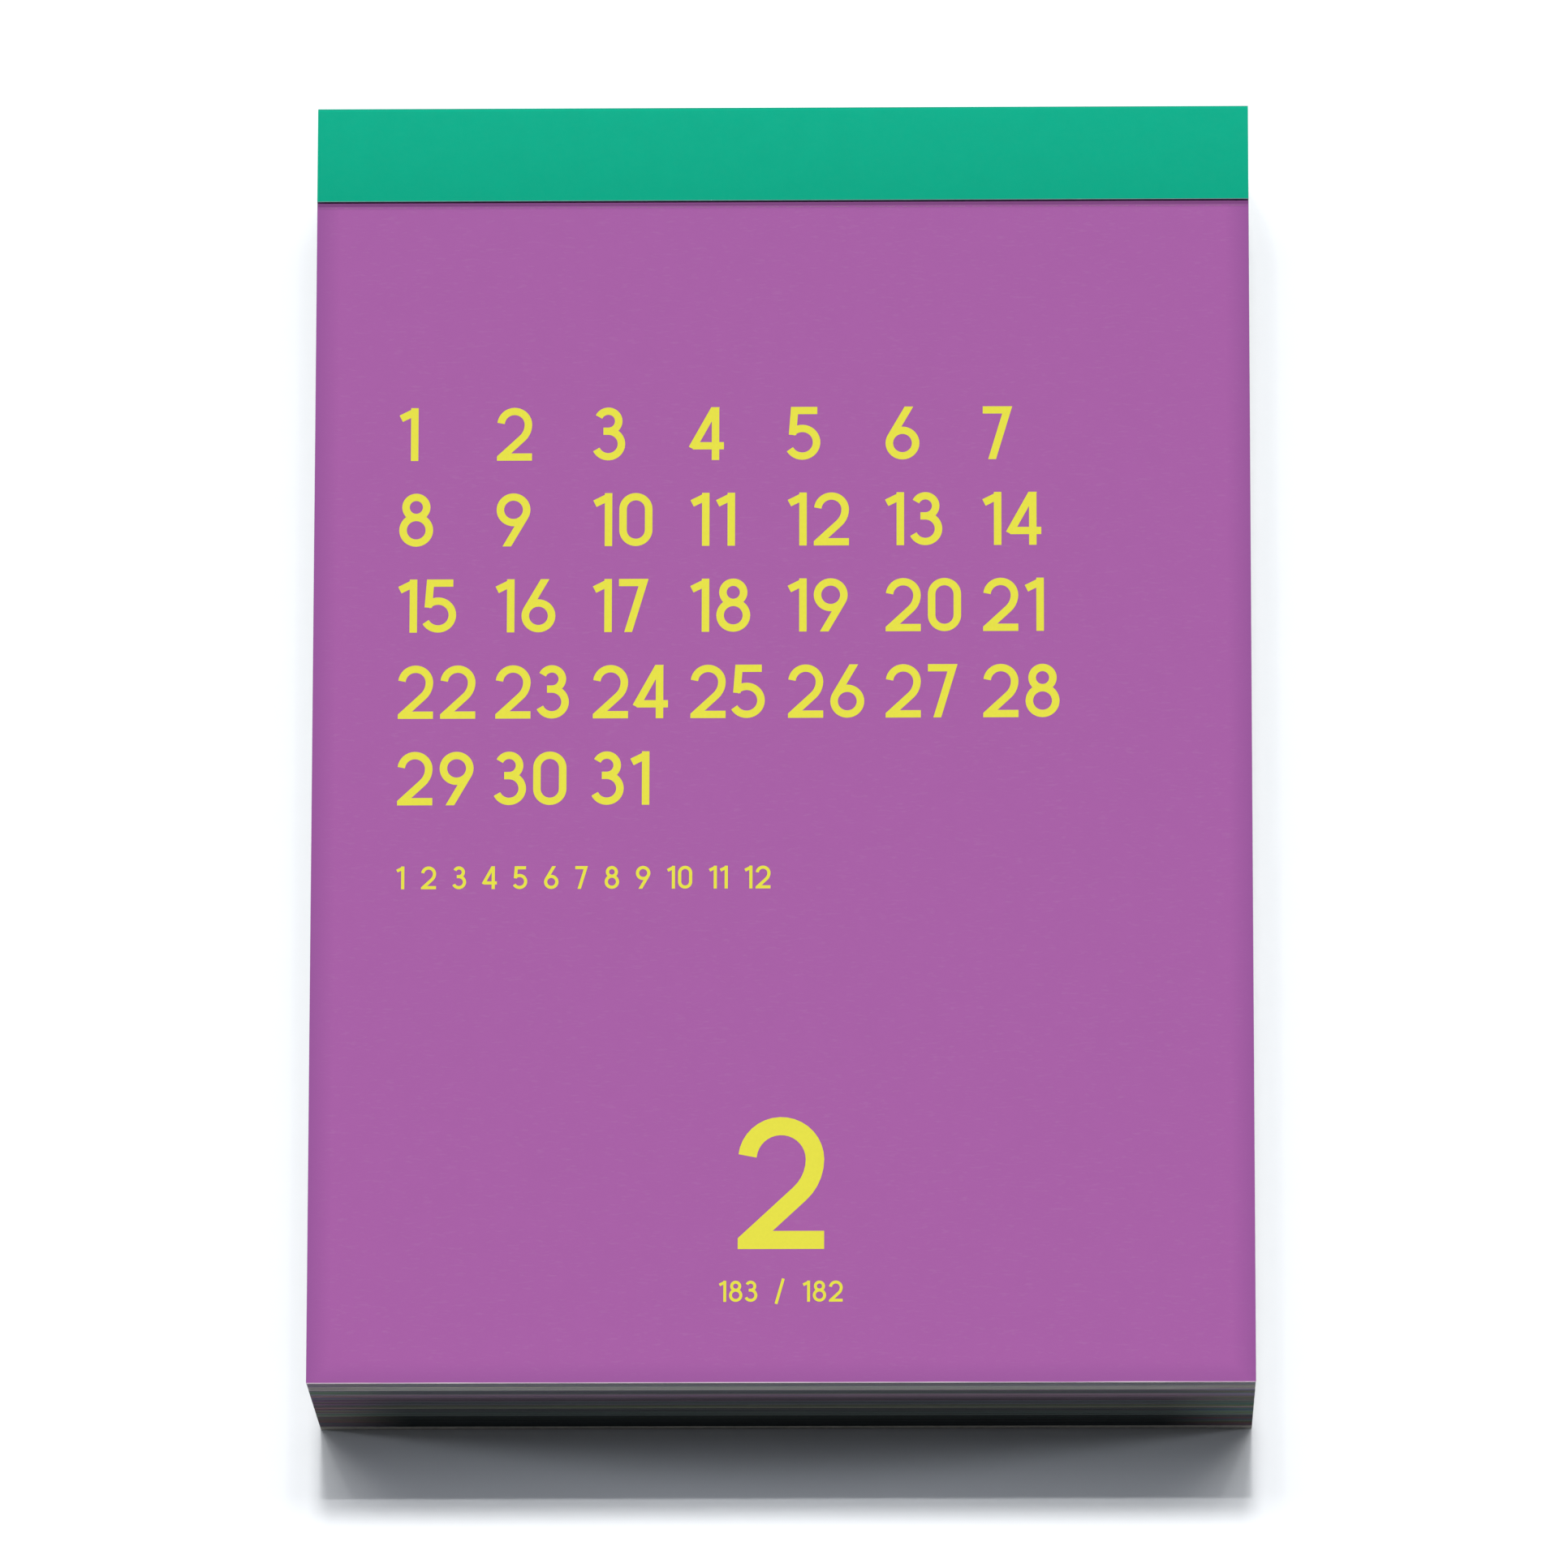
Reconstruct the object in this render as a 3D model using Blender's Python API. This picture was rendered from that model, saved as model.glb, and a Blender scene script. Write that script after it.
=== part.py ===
"""Tear-off calendar: a block of day leaves glued at the head, on a board, under a folded card band.

It lies on its back. +Z points out of the front leaf, +Y to the head, +X to the right, and the
origin is the middle of its footprint, on the surface it lies on. Sizes are in metres.
"""

import math

import bmesh
import bpy
from mathutils import Vector

MM = 0.001

# Leaves
LEAF_WIDTH = 115.0 * MM
CALENDAR_LENGTH = 160.0 * MM
LEAF_THICKNESS = 0.1 * MM
LEAVES_PER_PILE = 25
PILE_COUNT = 12
PAPER_GAP = 0.05 * MM

# Perforation: short cuts with paper bridges between them
BAND_TO_PERFORATION = 0.7 * MM
CUT_PITCH = 2.875 * MM
CUT_LENGTH = 2.0 * MM
CUT_DEPTH = 0.05 * MM

# Board behind the block
BOARD_THICKNESS = 2.0 * MM
HANG_HOLE_DIAMETER = 7.0 * MM
HANG_HOLE_BELOW_HEAD = 24.0 * MM
HANG_HOLE_SIDES = 48

# Card band, folded over the head from the front leaf to the back of the board
BAND_CARD = 0.4 * MM
BAND_FRONT = 12.0 * MM
BAND_BACK = 14.0 * MM
BAND_INNER_RADIUS = 0.1 * MM
FOLD_STEPS = 6

# Padding glue on the head edges of the leaves
GLUE_THICKNESS = 0.3 * MM

# Levels and lines worked out from the sizes above
FOOT_Y = -CALENDAR_LENGTH / 2
HEAD_Y = CALENDAR_LENGTH / 2
GLUE_HEAD_Y = HEAD_Y - BAND_CARD - PAPER_GAP
LEAF_HEAD_Y = GLUE_HEAD_Y - GLUE_THICKNESS - PAPER_GAP
BAND_EDGE_Y = HEAD_Y - BAND_FRONT
PERFORATION_Y = BAND_EDGE_Y - BAND_TO_PERFORATION
PILE_THICKNESS = LEAVES_PER_PILE * LEAF_THICKNESS
BLOCK_BACK_Z = BOARD_THICKNESS + PAPER_GAP
SECOND_LEAF_Z = BLOCK_BACK_Z + PILE_COUNT * (PILE_THICKNESS + PAPER_GAP)
TOP_LEAF_Z = SECOND_LEAF_Z + LEAF_THICKNESS + PAPER_GAP
BLOCK_FRONT_Z = TOP_LEAF_Z + LEAF_THICKNESS
BAND_FRONT_Z = BLOCK_FRONT_Z + PAPER_GAP + BAND_CARD

# Colours as sRGB
GREEN_CARD = "1AAE8B"
VIOLET_PRINT = "A761A6"
TEAL_PRINT = "3F9DA6"
BOOK_PAPER = "E9E6DD"
GREY_BOARD = "8E8A82"
CLEAR_GLUE = "DCD6C4"


def clear_scene():
    """Remove what the scene starts with."""
    for thing in list(bpy.data.objects):
        bpy.data.objects.remove(thing, do_unlink=True)


def linear_colour(hex_code):
    """An sRGB hex code as linear red, green, blue and alpha."""
    channels = []
    for start in (0, 2, 4):
        value = int(hex_code[start:start + 2], 16) / 255.0
        if value <= 0.04045:
            channels.append(value / 12.92)
        else:
            channels.append(((value + 0.055) / 1.055) ** 2.4)
    return (*channels, 1.0)


def make_material(name, hex_code, roughness):
    """A plain non-metal finish."""
    material = bpy.data.materials.new(name)
    material.use_nodes = True
    shader = material.node_tree.nodes["Principled BSDF"]
    shader.inputs["Base Color"].default_value = linear_colour(hex_code)
    shader.inputs["Roughness"].default_value = roughness
    shader.inputs["Metallic"].default_value = 0.0
    return material


def add_piece(name, shape, material, parent=None):
    """Turn a bmesh in world coordinates into a named object whose origin is its parent's, or its middle."""
    corners = [vertex.co for vertex in shape.verts]
    low = Vector([min(corner[i] for corner in corners) for i in range(3)])
    high = Vector([max(corner[i] for corner in corners) for i in range(3)])
    origin = parent["world_place"] if parent else (low + high) / 2
    bmesh.ops.translate(shape, verts=shape.verts, vec=-Vector(origin))
    bmesh.ops.recalc_face_normals(shape, faces=shape.faces)
    mesh = bpy.data.meshes.new(name)
    shape.to_mesh(mesh)
    shape.free()
    mesh.materials.append(material)
    piece = bpy.data.objects.new(name, mesh)
    bpy.context.scene.collection.objects.link(piece)
    if parent:
        piece.parent = parent
    else:
        piece.location = origin
    return piece


def add_hinge_point(name, place, parent=None):
    """An empty on a hinge axis, which carries what turns there."""
    point = bpy.data.objects.new(name, None)
    bpy.context.scene.collection.objects.link(point)
    point["world_place"] = place
    point.empty_display_size = 0.01
    if parent:
        point.parent = parent
        point.location = Vector(place) - Vector(parent["world_place"])
    else:
        point.location = place
    return point


def extrude_outline(points, direction):
    """A closed solid: the flat outline, pushed along the direction."""
    shape = bmesh.new()
    face = shape.faces.new([shape.verts.new(point) for point in points])
    pushed = bmesh.ops.extrude_face_region(shape, geom=[face])
    moved = [item for item in pushed["geom"] if isinstance(item, bmesh.types.BMVert)]
    bmesh.ops.translate(shape, verts=moved, vec=direction)
    return shape


def slab(y_low, y_high, z_low, z_high):
    """A flat stack of paper as wide as the leaves."""
    half = LEAF_WIDTH / 2
    outline = [(-half, y_low, z_low), (half, y_low, z_low), (half, y_high, z_low), (-half, y_high, z_low)]
    return extrude_outline(outline, (0, 0, z_high - z_low))


def perforated_edge(y_bridge, y_cut):
    """Points of a torn perforation from left to right: bridges end at y_bridge, cuts at y_cut."""
    count = max(1, round(LEAF_WIDTH / CUT_PITCH))
    pitch = LEAF_WIDTH / count
    cut = min(CUT_LENGTH, 0.9 * pitch)
    points = [(-LEAF_WIDTH / 2, y_bridge)]
    for index in range(count):
        middle = -LEAF_WIDTH / 2 + (index + 0.5) * pitch
        points.append((middle - cut / 2, y_bridge))
        points.append((middle - cut / 2, y_cut))
        points.append((middle + cut / 2, y_cut))
        points.append((middle + cut / 2, y_bridge))
    points.append((LEAF_WIDTH / 2, y_bridge))
    return points


def leaf_below_perforation(z_low):
    """The part of one leaf that tears off."""
    y_bridge = PERFORATION_Y - PAPER_GAP / 2
    edge = perforated_edge(y_bridge, y_bridge - CUT_DEPTH)
    outline = [(LEAF_WIDTH / 2, FOOT_Y), (-LEAF_WIDTH / 2, FOOT_Y)]
    points = [(x, y, z_low) for x, y in edge + outline]
    return extrude_outline(points, (0, 0, LEAF_THICKNESS))


def margin_above_perforation(z_low):
    """The narrow strip of one leaf between the band's edge and the perforation."""
    y_bridge = PERFORATION_Y + PAPER_GAP / 2
    edge = perforated_edge(y_bridge, y_bridge + CUT_DEPTH)
    y_root = BAND_EDGE_Y - PAPER_GAP
    outline = [(LEAF_WIDTH / 2, y_root), (-LEAF_WIDTH / 2, y_root)]
    points = [(x, y, z_low) for x, y in edge + outline]
    return extrude_outline(points, (0, 0, LEAF_THICKNESS))


def bound_stub(z_low, z_high):
    """The part of a leaf or pile that stays under the band, held by the glue."""
    return slab(BAND_EDGE_Y, LEAF_HEAD_Y, z_low, z_high)


def fold_arc(centre_y, centre_z, radius, start_degrees, end_degrees):
    """Points of one fold's arc, in the plane across the band."""
    points = []
    for step in range(FOLD_STEPS + 1):
        angle = math.radians(start_degrees + (end_degrees - start_degrees) * step / FOLD_STEPS)
        points.append((centre_y + radius * math.cos(angle), centre_z + radius * math.sin(angle)))
    return points


def make_header_band(material):
    """Card folded into a U: front flange, web over the head, and flange on the board's back."""
    outer_radius = BAND_INNER_RADIUS + BAND_CARD
    centre_y = HEAD_Y - outer_radius
    upper_z = BAND_FRONT_Z - outer_radius
    lower_z = outer_radius
    section = [(BAND_EDGE_Y, BAND_FRONT_Z)]
    section += fold_arc(centre_y, upper_z, outer_radius, 90, 0)
    section += fold_arc(centre_y, lower_z, outer_radius, 0, -90)
    section += [(HEAD_Y - BAND_BACK, 0.0), (HEAD_Y - BAND_BACK, BAND_CARD)]
    section += fold_arc(centre_y, lower_z, BAND_INNER_RADIUS, -90, 0)
    section += fold_arc(centre_y, upper_z, BAND_INNER_RADIUS, 0, 90)
    section += [(BAND_EDGE_Y, BAND_FRONT_Z - BAND_CARD)]
    points = [(-LEAF_WIDTH / 2, y, z) for y, z in section]
    band = add_piece("header_band", extrude_outline(points, (LEAF_WIDTH, 0, 0)), material)
    band.data.shade_smooth()
    band.data.set_sharp_from_angle(angle=math.radians(35))
    return band


def make_back_board(material):
    """Grey board, thinned at the head where the band's back flange is pressed in flush."""
    recess = BAND_CARD + PAPER_GAP
    recess_y = HEAD_Y - BAND_BACK - PAPER_GAP
    section = [
        (FOOT_Y, 0.0),
        (recess_y, 0.0),
        (recess_y, recess),
        (GLUE_HEAD_Y, recess),
        (GLUE_HEAD_Y, BOARD_THICKNESS),
        (FOOT_Y, BOARD_THICKNESS),
    ]
    points = [(-LEAF_WIDTH / 2, y, z) for y, z in section]
    board = add_piece("back_board", extrude_outline(points, (LEAF_WIDTH, 0, 0)), material)
    cutter_shape = bmesh.new()
    bmesh.ops.create_cone(
        cutter_shape,
        cap_ends=True,
        segments=HANG_HOLE_SIDES,
        radius1=HANG_HOLE_DIAMETER / 2,
        radius2=HANG_HOLE_DIAMETER / 2,
        depth=3 * BOARD_THICKNESS,
    )
    hole_centre = (0, HEAD_Y - HANG_HOLE_BELOW_HEAD, BOARD_THICKNESS / 2)
    bmesh.ops.translate(cutter_shape, verts=cutter_shape.verts, vec=hole_centre)
    cutter = add_piece("hang_hole_cutter", cutter_shape, material)
    cutter.hide_render = True
    cutter.display_type = "WIRE"
    hole = board.modifiers.new("hang_hole", "BOOLEAN")
    hole.operation = "DIFFERENCE"
    hole.solver = "EXACT"
    hole.object = cutter
    return board


def pile_level(number):
    """The lower face of a pile. Pile 1 is the front one."""
    return BLOCK_BACK_Z + (PILE_COUNT - number) * (PILE_THICKNESS + PAPER_GAP)


def make_fixed_piles(material):
    """All the piles behind the front one: whole leaves, from the foot to the glue."""
    for number in range(2, PILE_COUNT + 1):
        level = pile_level(number)
        shape = slab(FOOT_Y, LEAF_HEAD_Y, level, level + PILE_THICKNESS)
        add_piece(f"leaf_pile_{number:02d}", shape, material)


def make_front_pile(material, hinge):
    """The front pile turns up at the band's edge. Its bound part stays under the band."""
    level = pile_level(1)
    add_piece("leaf_pile_01_stub", bound_stub(level, level + PILE_THICKNESS), material)
    shape = slab(FOOT_Y, BAND_EDGE_Y - PAPER_GAP, level, level + PILE_THICKNESS)
    add_piece("leaf_pile_01", shape, material, hinge)


def make_single_leaf(name, level, material, hinge):
    """One leaf in three parts: bound stub, margin that bends at the band, and the part that tears off."""
    add_piece(f"{name}_stub", bound_stub(level, level + LEAF_THICKNESS), material)
    add_piece(f"{name}_margin", margin_above_perforation(level), material, hinge)
    add_piece(name, leaf_below_perforation(level), material, hinge)


def make_head_glue(material):
    """The film of padding glue that holds the head edges together."""
    shape = slab(GLUE_HEAD_Y - GLUE_THICKNESS, GLUE_HEAD_Y, BLOCK_BACK_Z, BLOCK_FRONT_Z)
    add_piece("head_glue", shape, material)


def main():
    """Build every piece."""
    clear_scene()
    book_paper = make_material("book_paper", BOOK_PAPER, 0.85)
    axis_place = (0.0, BAND_EDGE_Y, BAND_FRONT_Z)
    pile_hinge = add_hinge_point("front_pile_hinge", axis_place)
    second_hinge = add_hinge_point("second_leaf_hinge", axis_place, pile_hinge)
    top_hinge = add_hinge_point("top_leaf_hinge", axis_place, second_hinge)

    make_back_board(make_material("grey_board", GREY_BOARD, 0.9))
    make_header_band(make_material("green_card", GREEN_CARD, 0.5))
    make_head_glue(make_material("padding_glue", CLEAR_GLUE, 0.4))
    make_fixed_piles(book_paper)
    make_front_pile(book_paper, pile_hinge)
    second_paper = make_material("teal_printed_paper", TEAL_PRINT, 0.7)
    make_single_leaf("second_leaf", SECOND_LEAF_Z, second_paper, second_hinge)
    top_paper = make_material("violet_printed_paper", VIOLET_PRINT, 0.7)
    make_single_leaf("top_leaf", TOP_LEAF_Z, top_paper, top_hinge)


main()
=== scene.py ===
"""Looks of a tear-off calendar: paper leaves, printed numbers, a folded card band, grey board and glue.

Laid out as a Blender add-on and run as a script. Lengths are in metres, in the frame of the construction
model: +Z points out of the front leaf, +Y to the head and +X to the right.
"""

import functools
import math
import random

import bmesh
import bpy
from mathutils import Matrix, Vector


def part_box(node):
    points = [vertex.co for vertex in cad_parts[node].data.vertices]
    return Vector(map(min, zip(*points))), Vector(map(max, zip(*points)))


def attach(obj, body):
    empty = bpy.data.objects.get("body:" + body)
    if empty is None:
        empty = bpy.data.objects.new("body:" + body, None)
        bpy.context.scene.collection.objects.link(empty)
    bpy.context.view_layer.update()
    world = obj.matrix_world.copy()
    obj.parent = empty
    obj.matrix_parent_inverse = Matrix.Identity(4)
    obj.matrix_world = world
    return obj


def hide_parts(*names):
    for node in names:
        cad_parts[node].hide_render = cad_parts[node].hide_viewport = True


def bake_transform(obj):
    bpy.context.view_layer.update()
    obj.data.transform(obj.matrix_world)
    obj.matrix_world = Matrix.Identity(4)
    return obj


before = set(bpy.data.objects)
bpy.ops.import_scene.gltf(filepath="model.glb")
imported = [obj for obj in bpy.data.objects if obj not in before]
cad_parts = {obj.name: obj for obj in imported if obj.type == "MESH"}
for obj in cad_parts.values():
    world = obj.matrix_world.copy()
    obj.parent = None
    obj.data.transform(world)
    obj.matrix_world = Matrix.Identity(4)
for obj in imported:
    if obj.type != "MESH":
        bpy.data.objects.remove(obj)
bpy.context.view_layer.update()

bl_info = {
    "name": "Tear-off calendar looks",
    "version": (1, 0, 0),
    "blender": (4, 5, 0),
    "location": "View3D > Sidebar > Calendar",
    "description": "Models and finishes the leaves, numbers, band, board and glue of a tear-off calendar",
    "category": "Object",
}

MM = 0.001

# Places nearer to each other than this are the same
TOUCH = 0.001 * MM

# Places read from the construction model
HALF_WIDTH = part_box("top_leaf")[1].x
FOOT_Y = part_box("top_leaf")[0].y
HEAD_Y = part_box("header_band")[1].y
BAND_EDGE_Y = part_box("top_leaf_stub")[0].y
BAND_FRONT_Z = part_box("header_band")[1].z
BACK_FLANGE_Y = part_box("header_band")[0].y
LEAF_HEAD_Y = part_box("top_leaf_stub")[1].y
PERFORATION_Y = (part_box("top_leaf")[1].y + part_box("top_leaf_margin")[0].y) / 2
PILE_COUNT = 12
PILE_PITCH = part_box("leaf_pile_11")[0].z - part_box("leaf_pile_12")[0].z

# Tints of the trimmed edges of the piles, from the board forward: each pile its own tint, darker towards the
# board as painted shade of the block's foot face near the floor
EDGE_TINTS_AND_SHADE = (
    "1C2122", "1A1F20", "1F2626", "3F4846", "3F4245", "5C5D53",
    "4A4E53", "5B4E5C", "7F6C7B", "5C5F64", "A4A4A3", "777784",
)

# How much a leaf is darkened along the band, a painted shadow of the band's edge: distances from the band,
# and shares
BAND_PAINTED_SHADOW = (
    (0.0, 0.55), (0.15 * MM, 0.6), (0.28 * MM, 0.88), (0.46 * MM, 0.96), (0.58 * MM, 0.34), (0.82 * MM, 0.2),
    (1.0 * MM, 0.0),
)

# How many strips the glue film is cut into along two of its axes, so that it can be uneven
GLUE_STRIPS = ((0, 58), (2, 15))

# Figures are modelled one unit high, with this depth of ink and this many degrees in a step of an arc
MODEL_INK = 0.1
ARC_STEP = 10

# Planes that trim a stroke: what lies beyond the plane along its normal is cut away
FOOT_TRIM = ((0, 0, 0), (0, -1, 0))
HEAD_TRIM = ((0, 1, 0), (0, 1, 0))
LEFT_TRIM = ((0, 0, 0), (-1, 0, 0))

# Tilts of the lights to the head, heights of the low ones, and how wide each looks, in degrees
KEY_TILT = 18.5
KEY_ANGLE = 5.7
STEP_TILT = 14.8
STEP_ANGLE = 0.8
OVERHEAD_TILT = 7
OVERHEAD_ANGLE = 14
FLANK_HEIGHT = 4
FLANK_ANGLE = 8

# Tilts to the side of the lights in a row, in degrees, and each one's share of the row's light
LIGHT_ROW = ((0, 0.58), (7, 0.12), (14, 0.06), (21, 0.03))

# The lights' whites: the row is a little cool, and what fills the shadows is cooler
ROW_WHITE = (0.98, 1.0, 1.015)
COOL_WHITE = (0.9, 0.965, 1.08)

# The camera that matches the photograph: its place, its turn in degrees, its lens and sensor in millimetres
CAMERA_PLACE = (0.0313, -0.3558, 1.5912)
CAMERA_TURN = (12.66, 1.12, 0.09)
CAMERA_LENS = 300
CAMERA_SENSOR = 36

# How far the floor reaches on each side
FLOOR_REACH = 4


def linear(hex_code):
    """An sRGB hex code as linear red, green, blue and alpha."""
    channels = []
    for start in (0, 2, 4):
        value = int(hex_code[start:start + 2], 16) / 255
        channels.append(value / 12.92 if value <= 0.04045 else ((value + 0.055) / 1.055) ** 2.4)
    return (*channels, 1.0)


def toned(tone, amount):
    """A colour made darker or lighter."""
    return (*(min(1.0, channel * amount) for channel in tone[:3]), 1.0)


def length(name, description, millimetres):
    """A length that the user can change."""
    return bpy.props.FloatProperty(
        name=name, description=description, default=millimetres * MM, min=0.0, unit="LENGTH", precision=5
    )


def share(name, description, default):
    """A share of one that the user can change."""
    return bpy.props.FloatProperty(
        name=name, description=description, default=default, min=0.0, max=3.0, subtype="FACTOR"
    )


def colour(name, description, hex_code):
    """A colour that the user can change, with its default as sRGB."""
    tone = linear(hex_code)
    return bpy.props.FloatVectorProperty(
        name=name, description=description, default=tone, size=4, min=0.0, max=1.0, subtype="COLOR"
    )


class CalendarPaper(bpy.types.PropertyGroup):
    """Sizes of the leaves."""

    leaves: bpy.props.IntProperty(
        name="Leaves in a pile", description="Leaves modelled in each of the piles", default=25, min=2, max=60
    )
    air: length("Air", "Gap between two leaves of a pile", 0.010)
    pile_air: length("Pile air", "Room above the uppermost leaf of a pile", 0.030)
    trim: length("Trim", "How far the trimmed piles stand back from the two single leaves", 0.040)
    stray: length("Stray", "How far a leaf lies out of line in its pile", 0.020)
    pitch: length("Perforation pitch", "Distance between two cuts of the perforation", 2.875)
    bridge: length("Bridge", "Width of the paper left between two cuts", 0.875)
    slit: length("Slit", "Depth of a cut on either side of the perforation line", 0.012)
    root: length("Root", "How far a leaf that lifts reaches under the band", 0.35)
    bend: length("Bend", "Length over which the front pile bends when it lifts", 4.0)


class CalendarCard(bpy.types.PropertyGroup):
    """Sizes of the band, the board and the glue."""

    card: length("Card", "Thickness of the band's card", 0.4)
    fold: length("Fold", "Outer radius of the band's folds", 0.5)
    burr: length("Burr", "Rounding of the band's lower cut edge", 0.07)
    board_burr: length("Board burr", "Rounding of the board's cut edges", 0.14)
    recess_play: length("Recess play", "Room round the band's flange pressed into the board", 0.05)
    hole: length("Hanging hole", "Diameter of the hanging hole", 7.0)
    hole_drop: length("Hole drop", "Distance of the hanging hole below the head", 24.0)
    glue_bump: length("Glue bump", "Unevenness of the dried glue", 0.04)


class CalendarPrint(bpy.types.PropertyGroup):
    """Sizes and places of the printed numbers."""

    ink: length("Ink", "Thickness of the ink layer", 0.012)
    pen: share("Pen", "Stroke width of a figure, as a share of its height", 0.137)
    figure_gap: share("Figure gap", "Gap between two figures, as a share of their height", 0.13)
    day_height: length("Day height", "Height of the day's number", 16.3)
    day_foot: length("Day foot", "Distance of the day's number from the foot of the leaf", 16.45)
    grid_height: length("Grid height", "Height of the numbers of the month's days", 6.7)
    grid_left: length("Grid left", "Distance of the month's days from the left edge", 10.46)
    grid_head: length("Grid head", "Distance of the first row's top from the head", 38.2)
    grid_row: length("Grid row", "Distance between two rows of the month's days", 10.85)
    grid_column: length("Grid column", "Distance between two columns of the month's days", 11.95)
    row_height: length("Row height", "Height of the numbers of the months", 2.85)
    row_foot: length("Row foot", "Distance of the months' numbers from the foot of the leaf", 61.2)
    row_width: length("Row width", "Width of the row of the months' numbers", 45.7)
    count_height: length("Count height", "Height of the day count", 2.6)
    count_foot: length("Count foot", "Distance of the day count from the foot of the leaf", 9.95)
    count_width: length("Count width", "Width of the day count", 15.0)


class CalendarColours(bpy.types.PropertyGroup):
    """Colours of the papers, the inks, the card and the board."""

    # Each print's edge colour is darker: painted shade of the leaf's edges together with rubbed ink, and,
    # darker still, the painted shadow along the band
    violet: colour("Violet print", "Print of the first leaf", "9A5394")
    violet_edge: colour("Violet edge", "Print of the first leaf where its edges are rubbed", "8C4B8A")
    teal: colour("Teal print", "Print of the second leaf", "3F9DA6")
    teal_edge: colour("Teal edge", "Print of the second leaf where its edges are rubbed", "3B929B")
    coral: colour("Coral print", "Print of the front pile's first leaf", "D9705A")
    coral_edge: colour("Coral edge", "Print of the front pile's first leaf at its edges", "CC6854")
    blue: colour("Blue print", "Print of the next pile's first leaf", "4A6FA8")
    blue_edge: colour("Blue edge", "Print of the next pile's first leaf at its edges", "45689E")
    yellow: colour("Yellow ink", "Ink of the numbers on the first leaf", "D9D137")
    cream: colour("Cream ink", "Ink of the numbers on the other leaves", "EFE8CF")
    green: colour("Green card", "Printed face of the band's card", "00A07D")
    core: colour("Card core", "Cut edge of the band's card, dyed through", "7A9A98")
    core_fleck: colour("Card flecks", "Flecks in the cut edge of the band's card", "8CB3A8")
    paper: colour("Book paper", "Unprinted paper", "E9E6DD")
    board: colour("Grey board", "Board behind the block", "8E8A82")
    board_fleck: colour("Board flecks", "Flecks in the board", "6F6A62")
    glue: colour("Dried glue", "Padding glue at the head of the leaves", "DCD6C4")


class CalendarLight(bpy.types.PropertyGroup):
    """Shares of the light that each source gives to the floor."""

    key: share("Key", "Row of narrow soft lights, tilted to the head", 0.74)
    step: share("Step", "Row of small lights, tilted less, that end the darker part of the shadow", 0.24)
    overhead: share("Overhead", "Wide soft light nearly overhead", 0.1)
    flank: share("Flank", "Each of two low lights on the sides of the block, as a share on those sides", 0.7)
    room: share("Room", "Light from all round", 0.05)


def add_node(owner, kind, inputs=None, **settings):
    """Add a shader node to a material or world, with its settings, and its sockets set or linked.

    A node among the inputs gives its first output in use. Map Range has what it maps from in sockets 1 and 2,
    and what it maps to in 3 and 4. Mix has its two colours in sockets 6 and 7.
    """
    node = owner.node_tree.nodes.new(f"ShaderNode{kind}")
    for name, value in settings.items():
        setattr(node, name, value)
    for socket, value in (inputs or {}).items():
        if isinstance(value, bpy.types.Node):
            value = next(output for output in value.outputs if output.enabled)
        if isinstance(value, bpy.types.NodeSocket):
            owner.node_tree.links.new(value, node.inputs[socket])
        else:
            node.inputs[socket].default_value = value
    return node


def fill_ramp(ramp, stops):
    """Set the stops of a colour ramp, each a place and a colour."""
    elements = ramp.color_ramp.elements
    elements.remove(elements[1])
    elements[0].position, elements[0].color = stops[0]
    for position, tone in stops[1:]:
        elements.new(position).color = tone


def new_material(name):
    """Start a material: what adds a node to it, and the place on the object that its patterns read."""
    material = bpy.data.materials.new(name)
    material.use_nodes = True
    material.node_tree.nodes.clear()
    add = functools.partial(add_node, material)
    return add, add("TexCoord").outputs["Object"]


def finish_material(add, inputs, height=None, bump_distance=0.0, bump_strength=0.5):
    """Close a material with its shader, and with a bump where a height is given."""
    if height is not None:
        bump_inputs = {"Height": height, "Distance": bump_distance, "Strength": bump_strength}
        inputs = {**inputs, "Normal": add("Bump", bump_inputs)}
    add("OutputMaterial", {0: add("BsdfPrincipled", inputs)})


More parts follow.
